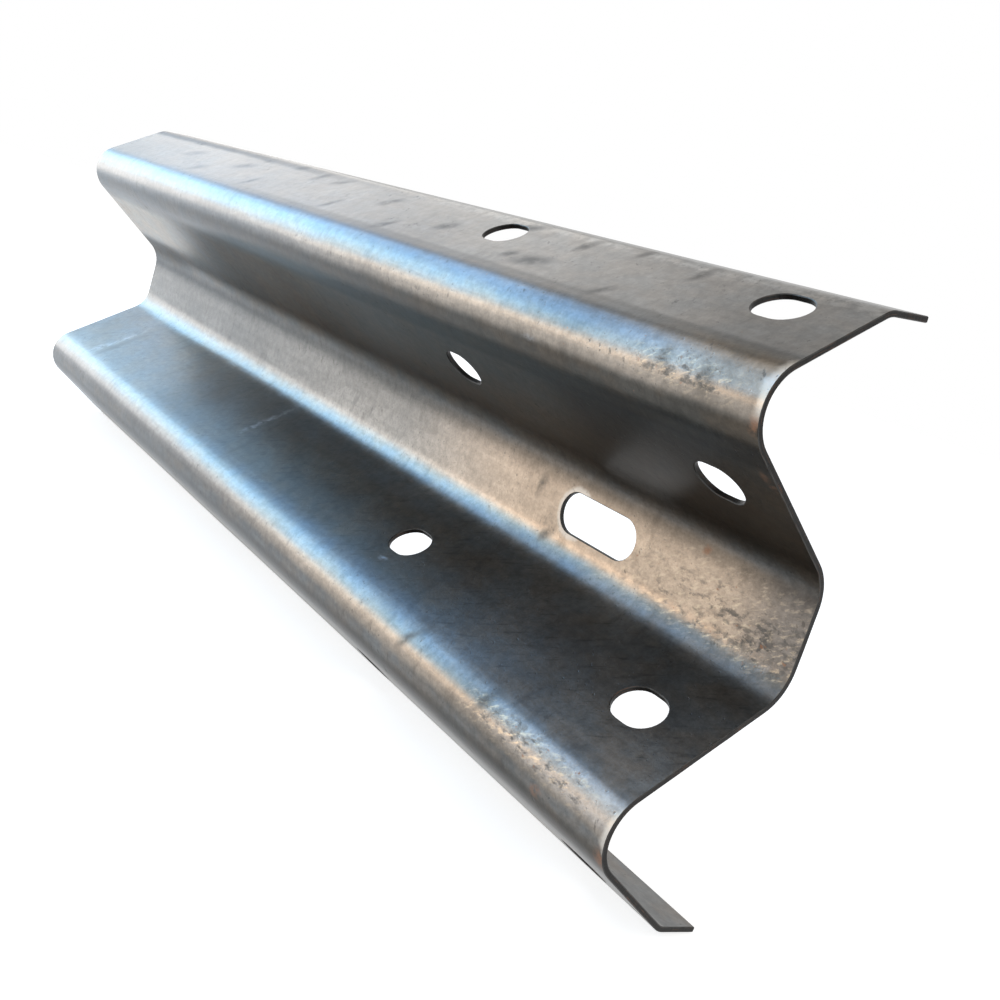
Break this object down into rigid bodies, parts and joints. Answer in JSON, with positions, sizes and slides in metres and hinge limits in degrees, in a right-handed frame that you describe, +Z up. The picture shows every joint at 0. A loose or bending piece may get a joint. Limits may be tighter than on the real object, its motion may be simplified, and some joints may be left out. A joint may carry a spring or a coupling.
{
  "type": "w-beam guardrail section",
  "caption": "Short bare steel W-beam crash barrier rail with rounded waves, a flat valley with a post slot, and splice slots at its end.",
  "frame": {"origin": "middle of the flat back face of the valley, half way along the rail, where it bears on a post", "axes": "+X along the rail towards its slotted end, +Y away from the traffic into the post, +Z up"},
  "size_m": [0.915, 0.0849, 0.305],
  "materials": {
    "bare_steel": "bare hot-rolled steel with dark mill scale, bright rub marks on the crests and valley near the slotted end, rust flecks on cut edges"
  },
  "bodies": {
    "root": {"w_beam_rail": "bare_steel"}
  },
  "joints": []
}
